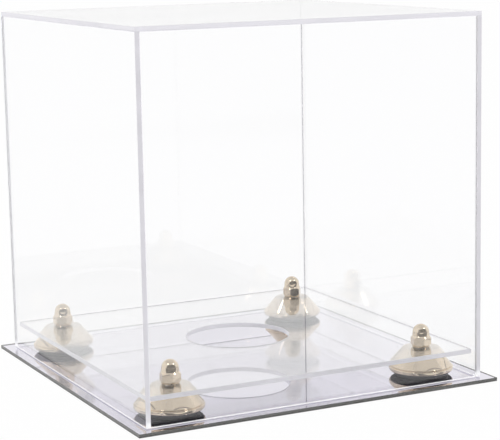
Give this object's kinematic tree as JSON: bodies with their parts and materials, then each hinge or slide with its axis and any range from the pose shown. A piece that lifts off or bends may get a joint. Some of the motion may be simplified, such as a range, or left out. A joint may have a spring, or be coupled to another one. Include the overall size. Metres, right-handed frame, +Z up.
{
  "type": "bowling ball display case",
  "caption": "Clear acrylic display case: a lift-off cover over a platform with a round seat, on gilt risers standing on a mirrored base.",
  "frame": {"origin": "centre of the underside of the mirrored base", "axes": "+Z up, the front of the case at -Y, its left side at -X"},
  "size_m": [0.271, 0.271, 0.2568],
  "materials": {
    "clear_acrylic": "clear, polished",
    "mirror": "silvered, dark backing",
    "gilt_metal": "polished champagne gilt",
    "black_rubber": "matte",
    "plated_steel": "plated"
  },
  "bodies": {
    "base": {"mirror_backing": "mirror", "base_sheet": "clear_acrylic"},
    "cover": {"cover_top": "clear_acrylic", "cover_front": "clear_acrylic", "cover_back": "clear_acrylic", "cover_left": "clear_acrylic", "cover_right": "clear_acrylic"},
    "stand": {"platform": "clear_acrylic", "riser_foot_front_left": "gilt_metal", "riser_foot_front_right": "gilt_metal", "riser_foot_back_left": "gilt_metal", "riser_foot_back_right": "gilt_metal", "riser_pad_front_left": "black_rubber", "riser_pad_front_right": "black_rubber", "riser_pad_back_left": "black_rubber", "riser_pad_back_right": "black_rubber", "riser_screw_front_left": "plated_steel", "riser_screw_front_right": "plated_steel", "riser_screw_back_left": "plated_steel", "riser_screw_back_right": "plated_steel", "cap_nut_front_left": "gilt_metal", "cap_nut_front_right": "gilt_metal", "cap_nut_back_left": "gilt_metal", "cap_nut_back_right": "gilt_metal"}
  },
  "joints": [
    {"name": "cover_lift", "type": "slide", "parent": "base", "child": "cover", "axis": [0, 0, 1], "range_m": [0, 0.26]},
    {"name": "stand_lift", "type": "slide", "parent": "base", "child": "stand", "axis": [0, 0, 1], "range_m": [0, 0.1]}
  ]
}
